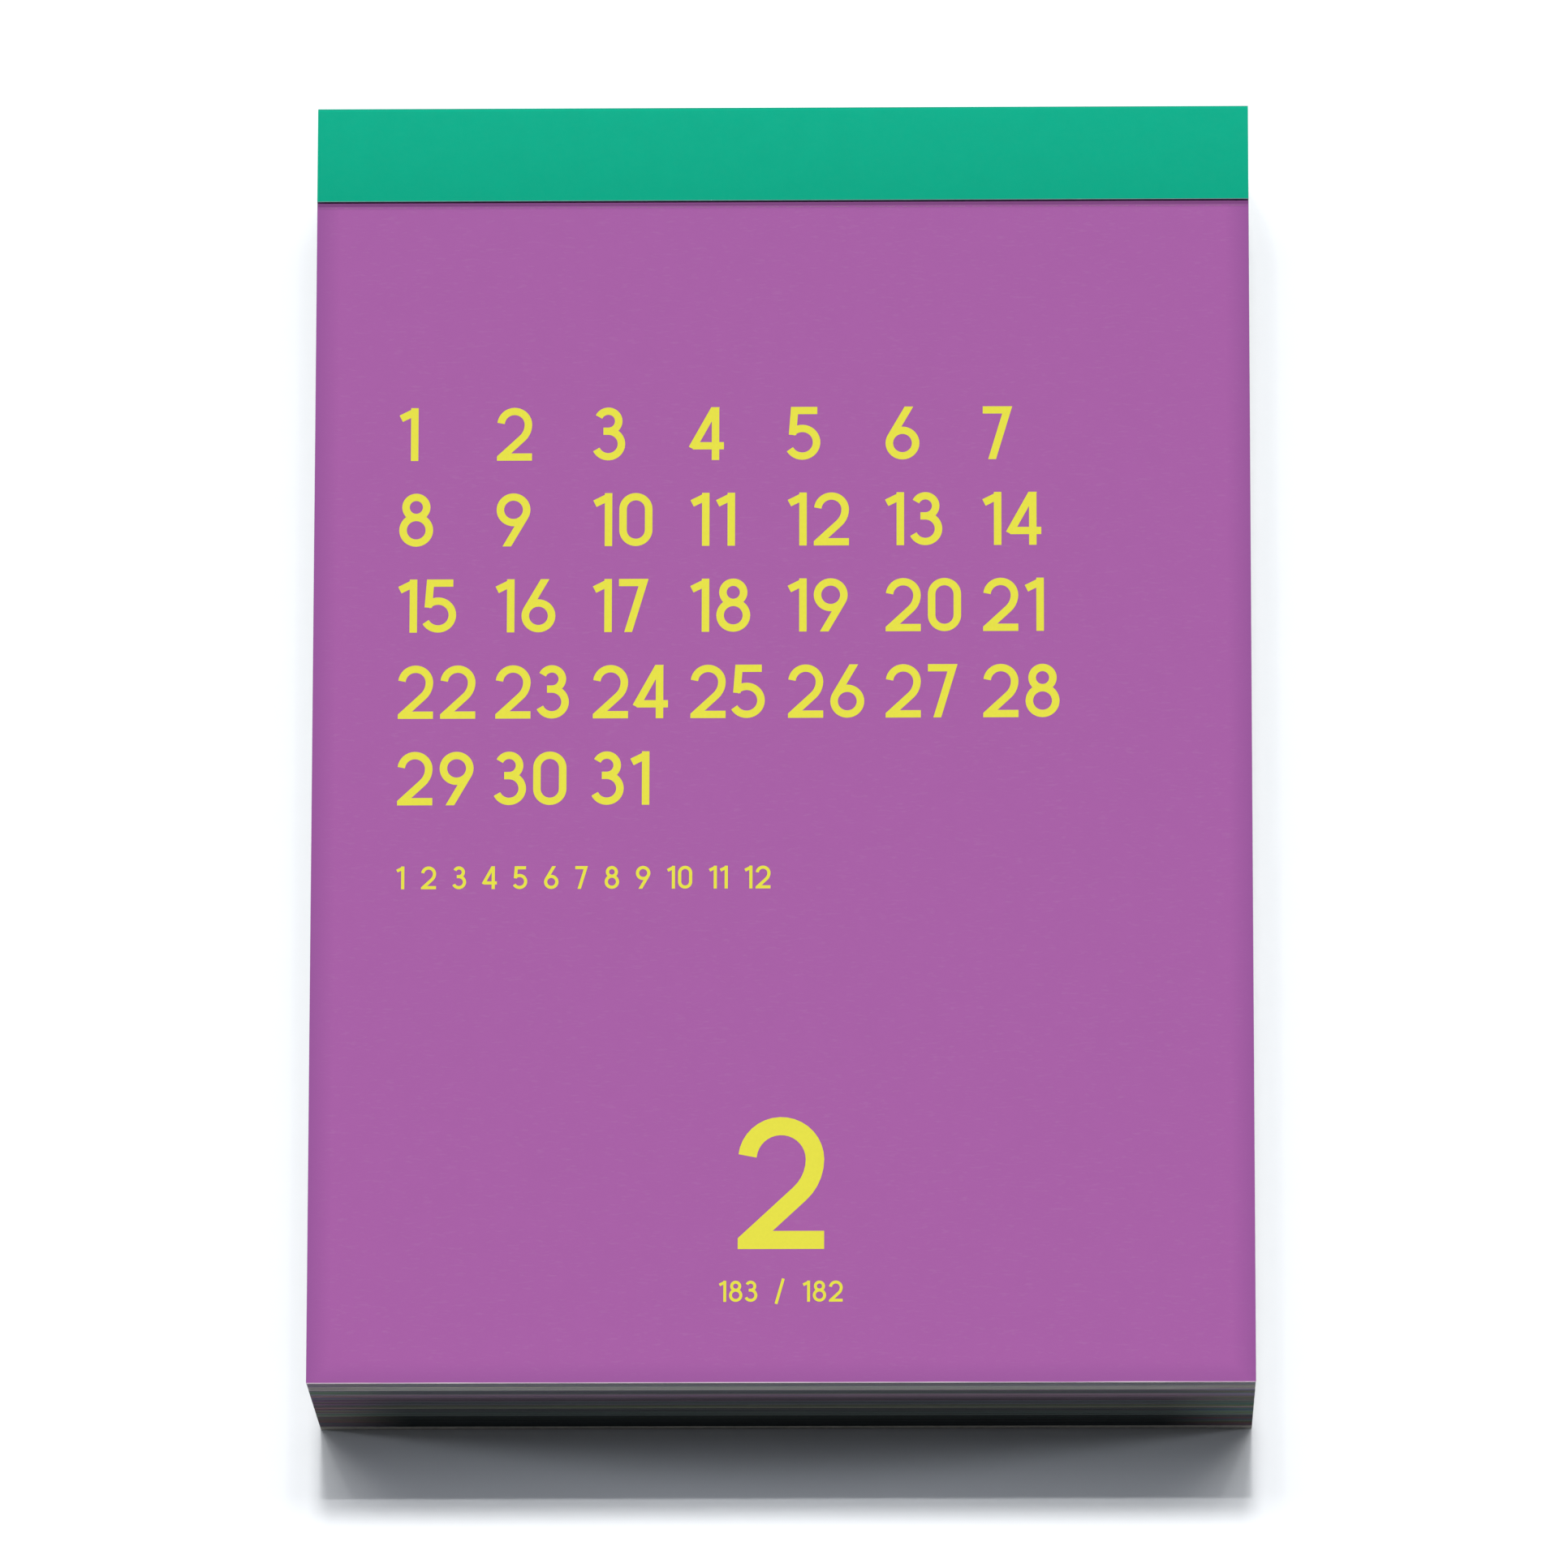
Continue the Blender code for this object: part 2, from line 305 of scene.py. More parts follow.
def make_offset_print(name, ink, edge_shade_ink, paper):
    """Offset ink on uncoated book paper: matt, a little mottled, with fibres showing, and edges darkened by
    rubbing and by painted shade.

    The fibres are drawn 0.3 mm wide and the mottle 2 mm wide, coarser than real ones, so that they show. The
    print is bared in a hairline at the foot, and darkened along the band by a painted shadow of the band's
    edge.
    """
    side_shade_and_rub = HALF_WIDTH - 2.9 * MM
    foot_shade_and_rub = FOOT_Y + 3.0 * MM
    hairline = (FOOT_Y + 0.12 * MM, FOOT_Y + 0.08 * MM)
    shadow_reach = BAND_PAINTED_SHADOW[-1][0]
    add, place = new_material(name)
    x, y, _ = add("SeparateXYZ", {0: place}).outputs
    mottle = add("TexNoise", {"Vector": place, "Scale": 1 / (2.0 * MM), "Detail": 3.0})
    lengthwise = add("Mapping", {"Vector": place, "Scale": (0.25, 1.0, 1.0)})
    fibres = add("TexNoise", {"Vector": lengthwise, "Scale": 1 / (0.3 * MM), "Detail": 2.0})
    showing = add("MapRange", {0: fibres, 1: 0.55, 2: 0.8, 4: 0.03})

    # Darker towards the sides and the foot: painted shade of the page's edges, together with rubbed ink
    from_middle = add("Math", {0: x}, operation="ABSOLUTE")
    side = add("MapRange", {0: from_middle, 1: side_shade_and_rub, 2: HALF_WIDTH})
    foot_range = {0: y, 1: foot_shade_and_rub, 2: FOOT_Y, 4: 0.65}
    foot = add("MapRange", foot_range, interpolation_type="SMOOTHSTEP")
    painted_shading_and_rub = add("Math", {0: side, 1: foot}, operation="MAXIMUM")

    # Darker along the band: painted shadow of the band's edge
    from_band = add("MapRange", {0: y, 1: BAND_EDGE_Y, 2: BAND_EDGE_Y - shadow_reach})
    band_shadow = add("ValToRGB", {0: from_band})
    fill_ramp(band_shadow, [(distance / shadow_reach, (amount, amount, amount, 1)) for distance, amount in BAND_PAINTED_SHADOW])

    wander = add("TexNoise", {"Vector": place, "Scale": 1 / (9.0 * MM), "Detail": 2.0})
    patchy = add("MapRange", {0: wander, 1: 0.3, 2: 0.7, 3: 0.2, 4: 0.55})
    at_foot = add("MapRange", {0: y, 1: hairline[0], 2: hairline[1]})
    bared = add("Math", {0: at_foot, 1: patchy}, operation="MULTIPLY")

    tone = toned(ink, 0.98)
    layers = (
        (mottle, toned(ink, 1.02)),
        (showing, paper),
        (painted_shading_and_rub, edge_shade_ink),
        (band_shadow, toned(edge_shade_ink, 0.6)),
        (bared, paper),
    )
    for amount, laid in layers:
        tone = add("Mix", {0: amount, 6: tone, 7: laid}, data_type="RGBA")
    roughness = add("MapRange", {0: fibres, 1: 0.2, 2: 0.8, 3: 0.78, 4: 0.9})
    inputs = {"Base Color": tone, "Roughness": roughness, "Specular IOR Level": 0.3}
    finish_material(add, inputs, fibres, 0.004 * MM, 0.35)


def make_bare_paper(name, paper):
    """Uncoated book paper as it comes off the machine: matt, off-white, with soft fibres.

    The fibres are drawn 0.35 mm wide, coarser than real ones, so that they show.
    """
    add, place = new_material(name)
    fibres = add("TexNoise", {"Vector": place, "Scale": 1 / (0.35 * MM), "Detail": 3.0})
    tone = add("Mix", {0: fibres, 6: toned(paper, 0.93), 7: paper}, data_type="RGBA")
    inputs = {"Base Color": tone, "Roughness": 0.9, "Specular IOR Level": 0.25}
    finish_material(add, inputs, fibres, 0.01 * MM, 0.4)


def make_trimmed_edges(name, leaf_total):
    """Guillotined edges of a block of full-bleed leaves: each leaf shows the inks of its page as a fine line.

    Each pile has its own tint, and the piles are darker towards the board, which is painted shade of the foot
    face near the floor. Some leaves show their own ink in streaks along the edge, and the corners are painted
    paler with random tints, which is painted light where the side light reaches in. The attribute leaf_number
    counts the leaves from the board.
    """
    corner_light_reach = 12 * MM
    add, place = new_material(name)
    x, y, _ = add("SeparateXYZ", {0: place}).outputs
    number = add("Attribute", attribute_name="leaf_number").outputs["Fac"]
    level = add("MapRange", {0: number, 1: -0.5, 2: leaf_total - 0.5})
    # Each pile has its own tint, darker towards the board: painted shade near the floor
    piles = add("ValToRGB", {0: level})
    piles.color_ramp.interpolation = "CONSTANT"
    fill_ramp(piles, [(pile / PILE_COUNT, linear(hex_code)) for pile, hex_code in enumerate(EDGE_TINTS_AND_SHADE)])

    along = add("Mapping", {"Vector": place, "Scale": (0.012, 0.012, 1.0)})
    streaks = add("TexNoise", {"Vector": along, "Scale": 1 / (0.45 * MM), "Detail": 3.0})
    each = add("TexWhiteNoise", {"W": number}, noise_dimensions="1D")
    each_ink = {"Color": each.outputs["Color"], "Saturation": 1.3, "Value": 0.55}
    page = add("HueSaturation", each_ink)
    showing = add("MapRange", {0: streaks, 1: 0.48, 2: 0.66, 3: 0.08, 4: 0.55})

    # Paler corners with random tints: painted light where the side light reaches in
    from_middle = add("Math", {0: x}, operation="ABSOLUTE")
    from_side = add("Math", {0: HALF_WIDTH, 1: from_middle}, operation="SUBTRACT")
    from_foot = add("Math", {0: y, 1: FOOT_Y}, operation="SUBTRACT")
    from_foot = add("Math", {0: from_foot, 1: 2.0}, operation="MULTIPLY")
    from_corner = add("Math", {0: from_side, 1: from_foot}, operation="MAXIMUM")
    corner_range = {0: from_corner, 1: corner_light_reach, 2: 0.0, 4: 0.42}
    painted_shading_and_rub = add("MapRange", corner_range, interpolation_type="SMOOTHSTEP")
    corner_stretch = add("Mapping", {"Vector": place, "Scale": (0.05, 0.05, 1.0)})
    corner_tint_noise = add("TexNoise", {"Vector": corner_stretch, "Scale": 1 / (1.8 * MM), "Detail": 1.0})
    corner_tint_settings = {"Color": corner_tint_noise.outputs["Color"], "Saturation": 1.25, "Value": 0.5}
    corner_light_tints = add("HueSaturation", corner_tint_settings)

    leaf_light = add("MapRange", {0: each, 3: 0.72, 4: 1.28})
    streak_light = add("MapRange", {0: streaks, 1: 0.3, 2: 0.7, 3: 0.78, 4: 1.22})
    light = add("Math", {0: leaf_light, 1: streak_light}, operation="MULTIPLY")

    tone = piles
    for amount, laid, blend in ((showing, page, "OVERLAY"), (painted_shading_and_rub, corner_light_tints, "MIX"), (1.0, light, "MULTIPLY")):
        sockets = {0: amount, 6: tone, 7: laid}
        tone = add("Mix", sockets, data_type="RGBA", blend_type=blend)
    inputs = {"Base Color": tone, "Roughness": 0.88, "Specular IOR Level": 0.12}
    finish_material(add, inputs, streaks, 0.01 * MM, 0.3)


def make_printed_card(name, green):
    """Solid board printed green under a dull varnish: even, faintly grained, with painted shade along the
    folds at the head.

    The grain is drawn 0.5 mm wide, coarser than the board's own, so that it shows.
    """
    waist = BAND_FRONT_Z / 2
    fold_shade_y = (HEAD_Y - 0.24 * MM, HEAD_Y - 0.1 * MM)
    fold_shade_z = (waist - 0.6 * MM, waist - 0.3 * MM)
    add, place = new_material(name)
    _, y, z = add("SeparateXYZ", {0: place}).outputs
    grain = add("TexNoise", {"Vector": place, "Scale": 1 / (0.5 * MM), "Detail": 3.0})
    mottle = add("TexNoise", {"Vector": place, "Scale": 1 / (3.0 * MM), "Detail": 2.0})
    # Darker along the folds at the head: painted shade of the folds
    by_head = add("MapRange", {0: y, 1: fold_shade_y[0], 2: fold_shade_y[1]})
    from_waist = add("Math", {0: z, 1: waist}, operation="SUBTRACT")
    from_waist = add("Math", {0: from_waist}, operation="ABSOLUTE")
    by_face = add("MapRange", {0: from_waist, 1: fold_shade_z[0], 2: fold_shade_z[1], 4: 0.85})
    painted_fold_shade = add("Math", {0: by_head, 1: by_face}, operation="MULTIPLY")
    tone = toned(green, 0.97)
    for amount, laid in ((mottle, toned(green, 1.03)), (painted_fold_shade, toned(green, 0.5))):
        tone = add("Mix", {0: amount, 6: tone, 7: laid}, data_type="RGBA")
    roughness = add("MapRange", {0: grain, 1: 0.25, 2: 0.75, 3: 0.72, 4: 0.84})
    inputs = {"Base Color": tone, "Roughness": roughness, "Specular IOR Level": 0.12}
    finish_material(add, inputs, grain, 0.006 * MM, 0.3)


def make_fibre_board(name, base, fleck, layer):
    """Pressed waste-paper board or a card's cut core: matt, flecked, with pressed layers along its edges."""
    add, place = new_material(name)
    flecks = add("TexNoise", {"Vector": place, "Scale": 1 / (0.6 * MM), "Detail": 4.0})
    pressed = add("Mapping", {"Vector": place, "Scale": (0.1, 0.1, 1.0)})
    layers = add("TexNoise", {"Vector": pressed, "Scale": 1 / layer, "Detail": 3.0})
    showing = add("MapRange", {0: flecks, 1: 0.5, 2: 0.72, 4: 0.5})
    light = add("MapRange", {0: layers, 1: 0.3, 2: 0.7, 3: 0.85, 4: 1.12})
    tone = base
    for amount, laid, blend in ((showing, fleck, "MIX"), (1.0, light, "MULTIPLY")):
        sockets = {0: amount, 6: tone, 7: laid}
        tone = add("Mix", sockets, data_type="RGBA", blend_type=blend)
    inputs = {"Base Color": tone, "Roughness": 0.92, "Specular IOR Level": 0.2}
    finish_material(add, inputs, flecks, 0.03 * MM, 0.5)


def make_dried_glue(name, glue):
    """Padding glue brushed on and dried: a cloudy, slightly shiny film."""
    add, place = new_material(name)
    clouds = add("TexNoise", {"Vector": place, "Scale": 1 / (1.5 * MM), "Detail": 3.0})
    tone = add("Mix", {0: clouds, 6: toned(glue, 0.8), 7: glue}, data_type="RGBA")
    inputs = {"Base Color": tone, "Roughness": 0.42, "IOR": 1.47}
    finish_material(add, inputs, clouds, 0.03 * MM, 0.5)


def make_ink(name, ink):
    """Opaque ink laid over the print: nearly matt, with faint pinholes of the paper's grain.

    The pinholes are drawn 0.4 mm wide, coarser than real ones, so that they show.
    """
    add, place = new_material(name)
    grain = add("TexNoise", {"Vector": place, "Scale": 1 / (0.4 * MM), "Detail": 3.0})
    tone = add("Mix", {0: grain, 6: toned(ink, 0.93), 7: ink}, data_type="RGBA")
    inputs = {"Base Color": tone, "Roughness": 0.75, "Specular IOR Level": 0.3}
    finish_material(add, inputs, grain, 0.003 * MM, 0.3)


def make_studio_floor(name):
    """White seamless studio paper, with hardly any texture."""
    add, place = new_material(name)
    grain = add("TexNoise", {"Vector": place, "Scale": 1 / (4.0 * MM), "Detail": 2.0})
    whites = {0: grain, 6: linear("F7F7F7"), 7: linear("F9F9F9")}
    tone = add("Mix", whites, data_type="RGBA")
    finish_material(add, {"Base Color": tone, "Roughness": 0.95, "Specular IOR Level": 0.1})


def add_new(operator, **settings):
    """Add a new object, with nothing else selected."""
    bpy.ops.object.select_all(action="DESELECT")
    operator(**settings)
    return bpy.context.active_object


def choose(piece):
    """Select a piece alone, and make it the active one."""
    bpy.ops.object.select_all(action="DESELECT")
    piece.select_set(True)
    bpy.context.view_layer.objects.active = piece


def edit():
    """Go into edit mode, in vertex selection, with all of the active object selected."""
    bpy.ops.object.mode_set(mode="EDIT")
    bpy.ops.mesh.select_mode(type="VERT")
    bpy.ops.mesh.select_all(action="SELECT")


def leave_edit():
    """Go back to object mode."""
    bpy.ops.object.mode_set(mode="OBJECT")


def size_new(piece, name, size):
    """Give a new piece its name and its size, with its place in its mesh."""
    piece.scale = size
    bpy.ops.object.transform_apply(location=True, rotation=True, scale=True)
    piece.name = piece.data.name = name
    return piece


def add_plane(name, low, high, z):
    """A flat rectangle from its low to its high corner."""
    middle = ((low[0] + high[0]) / 2, (low[1] + high[1]) / 2, z)
    piece = add_new(bpy.ops.mesh.primitive_plane_add, size=1, location=middle)
    return size_new(piece, name, (high[0] - low[0], high[1] - low[1], 1))


def add_block(name, low, high):
    """A block from its low to its high corner."""
    middle = (Vector(low) + Vector(high)) / 2
    piece = add_new(bpy.ops.mesh.primitive_cube_add, size=1, location=middle)
    return size_new(piece, name, Vector(high) - Vector(low))


def pick(mode, parts, test):
    """In edit mode, select only the faces or edges that pass the test."""
    bpy.ops.mesh.select_mode(type=mode)
    bpy.ops.mesh.select_all(action="DESELECT")
    mesh = bpy.context.edit_object.data
    shape = bmesh.from_edit_mesh(mesh)
    for part in getattr(shape, parts):
        part.select_set(test(part))
    bmesh.update_edit_mesh(mesh)


def pick_faces(test):
    """In edit mode, select only the faces that pass the test."""
    pick("FACE", "faces", test)


def pick_edges(test):
    """In edit mode, select only the edges whose middle passes the test."""
    pick("EDGE", "edges", lambda edge: test((edge.verts[0].co + edge.verts[1].co) / 2))


def cut_rows(axis, places):
    """In edit mode, cut the whole mesh across an axis at each place."""
    normal = Vector((0, 0, 0))
    normal[axis] = 1
    for place in places:
        bpy.ops.mesh.select_all(action="SELECT")
        bpy.ops.mesh.bisect(plane_co=normal * place, plane_no=normal, threshold=TOUCH)


def use_modifier(piece, kind, **settings):
    """Add a modifier to a piece and apply it."""
    choose(piece)
    modifier = piece.modifiers.new(kind.lower(), kind)
    for name, value in settings.items():
        setattr(modifier, name, value)
    bpy.ops.object.modifier_apply(modifier=modifier.name)


def face_outwards(piece):
    """Merge doubles and turn a closed body's faces outwards."""
    choose(piece)
    edit()
    bpy.ops.mesh.remove_doubles(threshold=TOUCH / 2)
    bpy.ops.mesh.normals_make_consistent(inside=False)
    leave_edit()


def soften(piece, angle=35):
    """Shade the piece smooth, with its sharper edges kept."""
    choose(piece)
    bpy.ops.object.shade_smooth_by_angle(angle=math.radians(angle))


def top_of(piece):
    """The highest level of a piece."""
    return max(vertex.co.z for vertex in piece.data.vertices)


def finish_faces(piece, material, test):
    """Give another material to the faces that pass the test."""
    piece.data.materials.append(material)
    for face in piece.data.polygons:
        if test(face):
            face.material_index = len(piece.data.materials) - 1


def settle(piece, body, slot, *nodes):
    """Say what a finished piece moves with and stands for; slot, the finish it would take, is not used."""
    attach(piece, body)
    if nodes:
        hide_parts(*nodes)


def hue(name):
    """One of the calendar's colours."""
    return tuple(getattr(bpy.context.scene.calendar_colours, name))


def find_material(name, maker, *arguments):
    """The material of that name, made when it is first asked for."""
    if name not in bpy.data.materials:
        maker(name, *arguments)
    return bpy.data.materials[name]


def finish(piece, name, maker, *arguments):
    """Give a piece its main material."""
    piece.data.materials.append(find_material(name, maker, *arguments))


def bare_paper():
    """The paper of all the leaves."""
    return find_material("uncoated_book_paper", make_bare_paper, hue("paper"))


def printed_paper(tint):
    """Paper printed over its whole face in one of the tints."""
    inks = (hue(tint), hue(f"{tint}_edge"), hue("paper"))
    return find_material(f"{tint}_offset_print_on_uncoated_paper", make_offset_print, *inks)


def pile_name(number):
    """The construction node of a pile, counted from the front."""
    return f"leaf_pile_{number:02d}"


def stack_leaves(name, pile, y_low, y_high, rows=()):
    """Model one leaf of a pile from a plane and copy it up, each copy a little out of line."""
    paper = bpy.context.scene.calendar_paper
    chance = random.Random(f"{name} stray")
    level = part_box(pile_name(pile))[0].z
    pitch = (PILE_PITCH - paper.pile_air) / paper.leaves
    half_width = HALF_WIDTH - paper.trim
    piece = add_plane(name, (-half_width, y_low), (half_width, y_high), level)
    edit()
    bpy.ops.mesh.extrude_region_move(TRANSFORM_OT_translate={"value": (0, 0, pitch - paper.air)})
    cut_rows(1, rows)
    bpy.ops.mesh.select_all(action="SELECT")
    bpy.ops.mesh.normals_make_consistent(inside=False)
    lie = Vector((0, 0, 0))
    for _ in range(paper.leaves - 1):
        strayed = Vector((chance.uniform(-1, 1), chance.uniform(-1, 1), 0)) * paper.stray
        step = strayed - lie + Vector((0, 0, pitch))
        bpy.ops.mesh.duplicate_move(TRANSFORM_OT_translate={"value": step})
        lie = strayed
    leave_edit()
    numbers = piece.data.attributes.new("leaf_number", "FLOAT", "POINT")
    behind = (PILE_COUNT - pile) * paper.leaves
    # The 0.05 of a leaf keeps rounding from counting a leaf's underside with the one below
    for vertex, number in zip(piece.data.vertices, numbers.data):
        number.value = behind + math.floor((vertex.co.z - level) / pitch + 0.05)
    finish(piece, "trimmed_edges_of_printed_leaves", make_trimmed_edges, PILE_COUNT * paper.leaves)
    return piece


def print_first_leaf(piece, tint):
    """Print the face of a pile's first leaf, and leave its other flat faces bare."""
    face_level = top_of(piece) - 0.01 * MM
    finish_faces(piece, bare_paper(), lambda face: abs(face.normal.z) > 0.5)
    finish_faces(piece, printed_paper(tint), lambda face: face.normal.z > 0.5 and face.center.z > face_level)


def perforated_sheet(name, y_plain, side, level, rows=()):
    """A leaf's sheet from a plain edge to the perforation; side is 1 where the sheet lies below the line.

    One pitch of the perforation is modelled, repeated across the leaf and given its thickness.
    """
    paper = bpy.context.scene.calendar_paper
    count = round(2 * HALF_WIDTH / paper.pitch)
    pitch = 2 * HALF_WIDTH / count
    y_cut = PERFORATION_Y - side * paper.slit
    y_bridge = PERFORATION_Y - side * TOUCH
    low_y, high_y = sorted((y_plain, y_cut))
    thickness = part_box("top_leaf")[1].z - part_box("top_leaf")[0].z
    piece = add_plane(name, (-HALF_WIDTH, low_y), (-HALF_WIDTH + pitch, high_y), level + thickness / 2)
    edit()
    cut_rows(0, (-HALF_WIDTH + paper.bridge / 2, -HALF_WIDTH + pitch - paper.bridge / 2))
    middle = -HALF_WIDTH + pitch / 2
    cut_half = (pitch - paper.bridge) / 2
    pick_edges(lambda place: abs(place.y - y_cut) < TOUCH and abs(place.x - middle) > cut_half)
    bpy.ops.mesh.extrude_region_move(TRANSFORM_OT_translate={"value": (0, y_bridge - y_cut, 0)})
    leave_edit()
    use_modifier(
        piece,
        "ARRAY",
        count=count,
        use_relative_offset=False,
        use_constant_offset=True,
        constant_offset_displace=(pitch, 0, 0),
        use_merge_vertices=True,
        merge_threshold=TOUCH,
    )
    edit()
    cut_rows(1, rows)
    leave_edit()
    use_modifier(piece, "SOLIDIFY", thickness=thickness, offset=0.0, use_even_offset=True)
    face_outwards(piece)
    return piece


def finish_sheet(piece, tint):
    """Print a sheet's front, and leave its back and its cut edges bare."""
    piece.data.materials.append(bare_paper())
    finish_faces(piece, printed_paper(tint), lambda face: face.normal.z > 0.5)


def model_single_leaf(name, tint, slot):
    """One leaf: the sheet that tears off, the margin at the band, cut into rows across its bend, and the
    bound stub.
    """
    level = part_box(name)[0].z
    sheet = perforated_sheet(f"{name}_sheet", FOOT_Y, 1, level)
    finish_sheet(sheet, tint)
    settle(sheet, name, slot, name)

    root_y = BAND_EDGE_Y + bpy.context.scene.calendar_paper.root
    bend = BAND_EDGE_Y - PERFORATION_Y
    bend_rows = 8
    rows = [BAND_EDGE_Y - bend * step / bend_rows for step in range(bend_rows)]
    margin = perforated_sheet(f"{name}_margin_strip", root_y, -1, level, rows)
    finish_sheet(margin, tint)
    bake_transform(margin)
    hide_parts(f"{name}_margin")

    stub = add_plane(f"{name}_bound_strip", (-HALF_WIDTH, root_y), (HALF_WIDTH, LEAF_HEAD_Y), level)
    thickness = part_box(name)[1].z - level
    edit()
    bpy.ops.mesh.extrude_region_move(TRANSFORM_OT_translate={"value": (0, 0, thickness)})
    leave_edit()
    face_outwards(stub)
    finish_sheet(stub, tint)
    settle(stub, "bound_block", slot, f"{name}_stub")


class CALENDAR_OT_back_board(bpy.types.Operator):
    """Model the grey board, its pressed-in recess and its hanging hole"""

    bl_idname = "calendar.back_board"
    bl_label = "Back board"

    def execute(self, context):
        card = context.scene.calendar_card
        low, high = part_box("back_board")
        board = add_block("grey_board_sheet", low, high)
        play = card.recess_play
        recess_low = (2 * low.x, BACK_FLANGE_Y - play, -high.z)
        recess = add_block("recess_cutter", recess_low, (2 * high.x, HEAD_Y, card.card + play))
        hole = add_new(
            bpy.ops.mesh.primitive_cylinder_add,
            vertices=64,
            radius=card.hole / 2,
            depth=4 * high.z,
            location=(0, HEAD_Y - card.hole_drop, high.z / 2),
        )
        for cutter in (recess, hole):
            use_modifier(board, "BOOLEAN", operation="DIFFERENCE", object=cutter)
            bpy.data.objects.remove(cutter)
        limits = {"limit_method": "ANGLE", "angle_limit": math.radians(40)}
        use_modifier(board, "BEVEL", width=card.board_burr, segments=3, **limits)
        soften(board)
        finish(board, "pressed_grey_board", make_fibre_board, hue("board"), hue("board_fleck"), 0.25 * MM)
        settle(board, "bound_block", "grey_board", "back_board")
        return {"FINISHED"}


class CALENDAR_OT_header_band(bpy.types.Operator):
    """Fold the card band over the head, from its web to its two flanges"""

    bl_idname = "calendar.header_band"
    bl_label = "Header band"

    def execute(self, context):
        card = context.scene.calendar_card
        fold_y = HEAD_Y - card.fold
        back_z = card.fold
        front_z = BAND_FRONT_Z - card.fold
        web_high = (HALF_WIDTH, HEAD_Y + card.card, front_z)
        band = add_block("folded_card_band", (-HALF_WIDTH, HEAD_Y, back_z), web_high)
        edit()
        pick_faces(lambda face: face.normal.y > -0.5)
        bpy.ops.mesh.delete(type="ONLY_FACE")
        pick_edges(lambda place: place.y > HEAD_Y + card.card / 4)
        bpy.ops.mesh.delete(type="EDGE")
        for fold_z, turn, flange_y in ((front_z, -90, BAND_EDGE_Y), (back_z, 90, BACK_FLANGE_Y)):
            pick_edges(lambda place: abs(place.z - fold_z) < TOUCH and abs(place.y - HEAD_Y) < TOUCH)
            centre = (0, fold_y, fold_z)
            bpy.ops.mesh.spin(steps=8, angle=math.radians(turn), center=centre, axis=(1, 0, 0))
            bpy.ops.mesh.extrude_edges_move(TRANSFORM_OT_translate={"value": (0, flange_y - fold_y, 0)})
        bpy.ops.mesh.select_all(action="SELECT")
        bpy.ops.mesh.remove_doubles(threshold=TOUCH)
        bpy.ops.mesh.normals_make_consistent(inside=False)
        leave_edit()
        use_modifier(band, "SOLIDIFY", thickness=card.card, offset=-1.0, use_even_offset=True)
        face_outwards(band)
        edit()
        pick_edges(lambda place: abs(place.y - BAND_EDGE_Y) < TOUCH and abs(place.z - BAND_FRONT_Z) < TOUCH)
        bpy.ops.mesh.bevel(offset=card.burr, segments=2, affect="EDGES")
        by_fold = 0.1 * MM
        cut_rows(1, (fold_y - by_fold,))
        cut_rows(2, (back_z + by_fold, front_z - by_fold))
        leave_edit()
        soften(band, 25)
        finish(band, "green_printed_card", make_printed_card, hue("green"))
        by_end = 0.1 * MM
        ends = (BAND_EDGE_Y, BACK_FLANGE_Y)
        finish_faces(
            band,
            find_material("cut_card_core", make_fibre_board, hue("core"), hue("core_fleck"), 0.1 * MM),
            lambda face: abs(face.normal.x) > 0.7
            or (face.normal.y < -0.3 and min(abs(face.center.y - end) for end in ends) < by_end),
        )
        settle(band, "bound_block", "green_card", "header_band")
        return {"FINISHED"}


class CALENDAR_OT_head_glue(bpy.types.Operator):
    """Brush a film of padding glue on the head edges of the leaves"""

    bl_idname = "calendar.head_glue"
    bl_label = "Head glue"

    def execute(self, context):
        low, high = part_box("head_glue")
        film = add_block("dried_glue_film", low, high)
        use_modifier(film, "BEVEL", width=(high.y - low.y) / 3, segments=2)
        edit()
        for axis, count in GLUE_STRIPS:
            cut_rows(axis, [low[axis] + (high[axis] - low[axis]) * step / count for step in range(1, count)])
        leave_edit()
        chance = random.Random("brushed glue")
        middle = (low + high) / 2
        for vertex in film.data.vertices:
            inwards = (middle.y - vertex.co.y) / (high.y - low.y) * 2
            vertex.co.y += inwards * chance.uniform(0, context.scene.calendar_card.glue_bump)
        soften(film, 60)
        finish(film, "dried_padding_glue", make_dried_glue, hue("glue"))
        settle(film, "bound_block", "padding_glue", "head_glue")
        return {"FINISHED"}


class CALENDAR_OT_leaf_piles(bpy.types.Operator):
    """Stack the leaves of the piles behind the front one"""

    bl_idname = "calendar.leaf_piles"
    bl_label = "Leaf piles"

    def execute(self, context):
        foot_y = FOOT_Y + context.scene.calendar_paper.trim
        for pile in range(2, PILE_COUNT + 1):
            node = pile_name(pile)
            piece = stack_leaves(f"{node}_leaves", pile, foot_y, LEAF_HEAD_Y)
            if pile == 2:
                print_first_leaf(piece, "blue")
            settle(piece, "bound_block", "book_paper", node)
        return {"FINISHED"}


